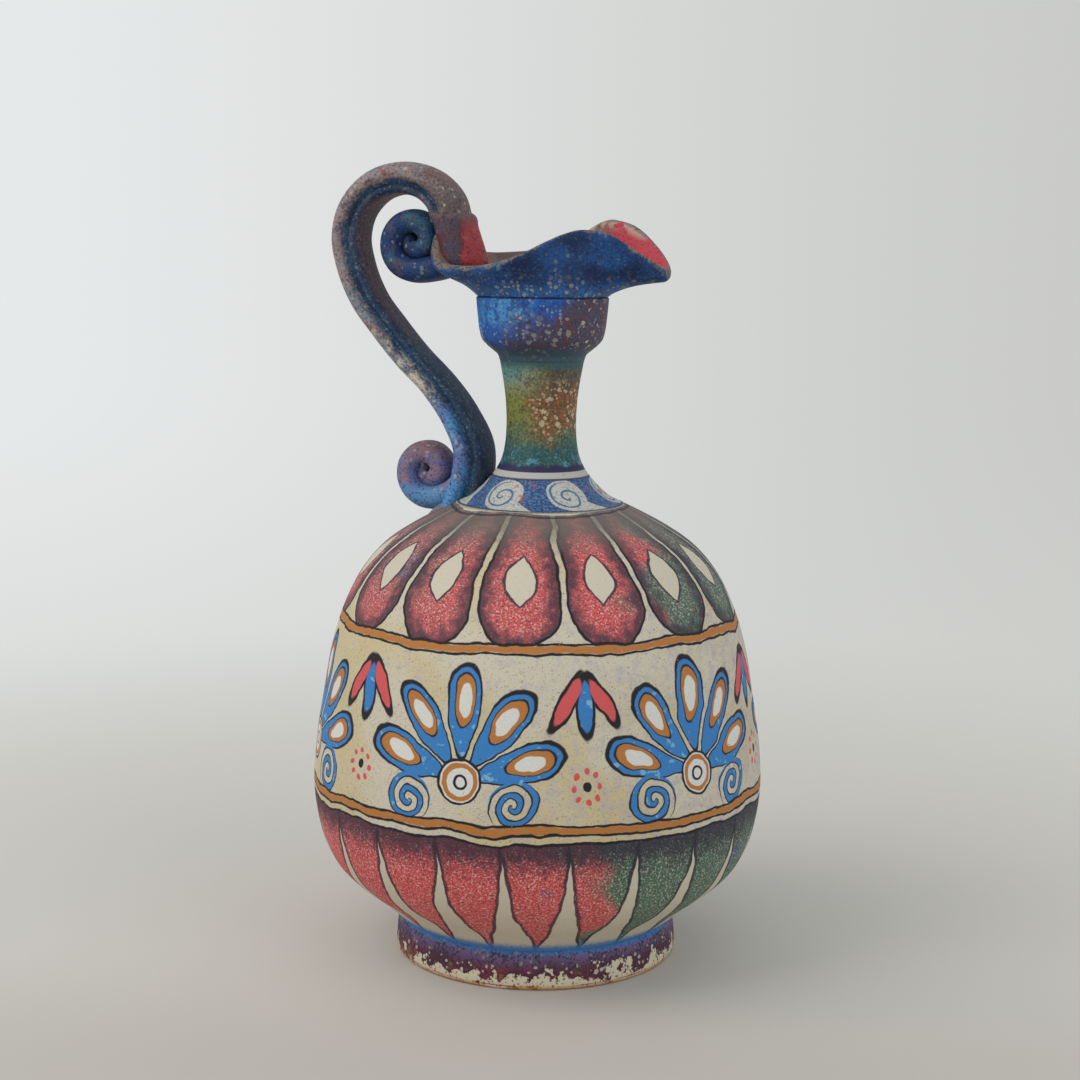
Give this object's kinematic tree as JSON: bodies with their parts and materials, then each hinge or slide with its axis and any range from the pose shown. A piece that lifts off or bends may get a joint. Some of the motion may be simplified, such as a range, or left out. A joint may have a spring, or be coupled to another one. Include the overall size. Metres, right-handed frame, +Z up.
{
  "type": "wine jug",
  "caption": "Tall ceramic wine jug with a full body on a foot ring, a narrow neck, a pinched pouring lip and a looped handle that curls into scrolls at both ends.",
  "frame": {"origin": "on the vessel's axis, in the plane that the foot ring rests on", "axes": "+Z up along the vessel's axis, +X towards the pouring spout, -X towards the handle"},
  "size_m": [0.1508, 0.1508, 0.2604],
  "materials": {
    "painted_foot": "matt violet slip with a bare cream edge",
    "painted_belly": "matt cream ground with sponged coral red, green and charcoal",
    "painted_neck": "matt mottle of teal, olive and ochre with pale chips",
    "painted_cup": "matt bright blue that turns to mauve brown",
    "painted_lip": "matt cobalt blue outside, brown inside",
    "painted_saddle": "matt coral red",
    "painted_handle": "matt speckled mauve and grey with deep blue furrows",
    "painted_upper_scroll": "matt blue and grey green",
    "painted_lower_scroll": "matt purple, pink and blue",
    "painted_pad": "matt speckled blue"
  },
  "bodies": {
    "root": {"foot_ring": "painted_foot", "belly": "painted_belly", "neck": "painted_neck", "mouth_cup": "painted_cup", "lip": "painted_lip", "handle_saddle": "painted_saddle", "handle": "painted_handle", "upper_scroll": "painted_upper_scroll", "lower_scroll": "painted_lower_scroll", "handle_pad": "painted_pad"}
  },
  "joints": []
}
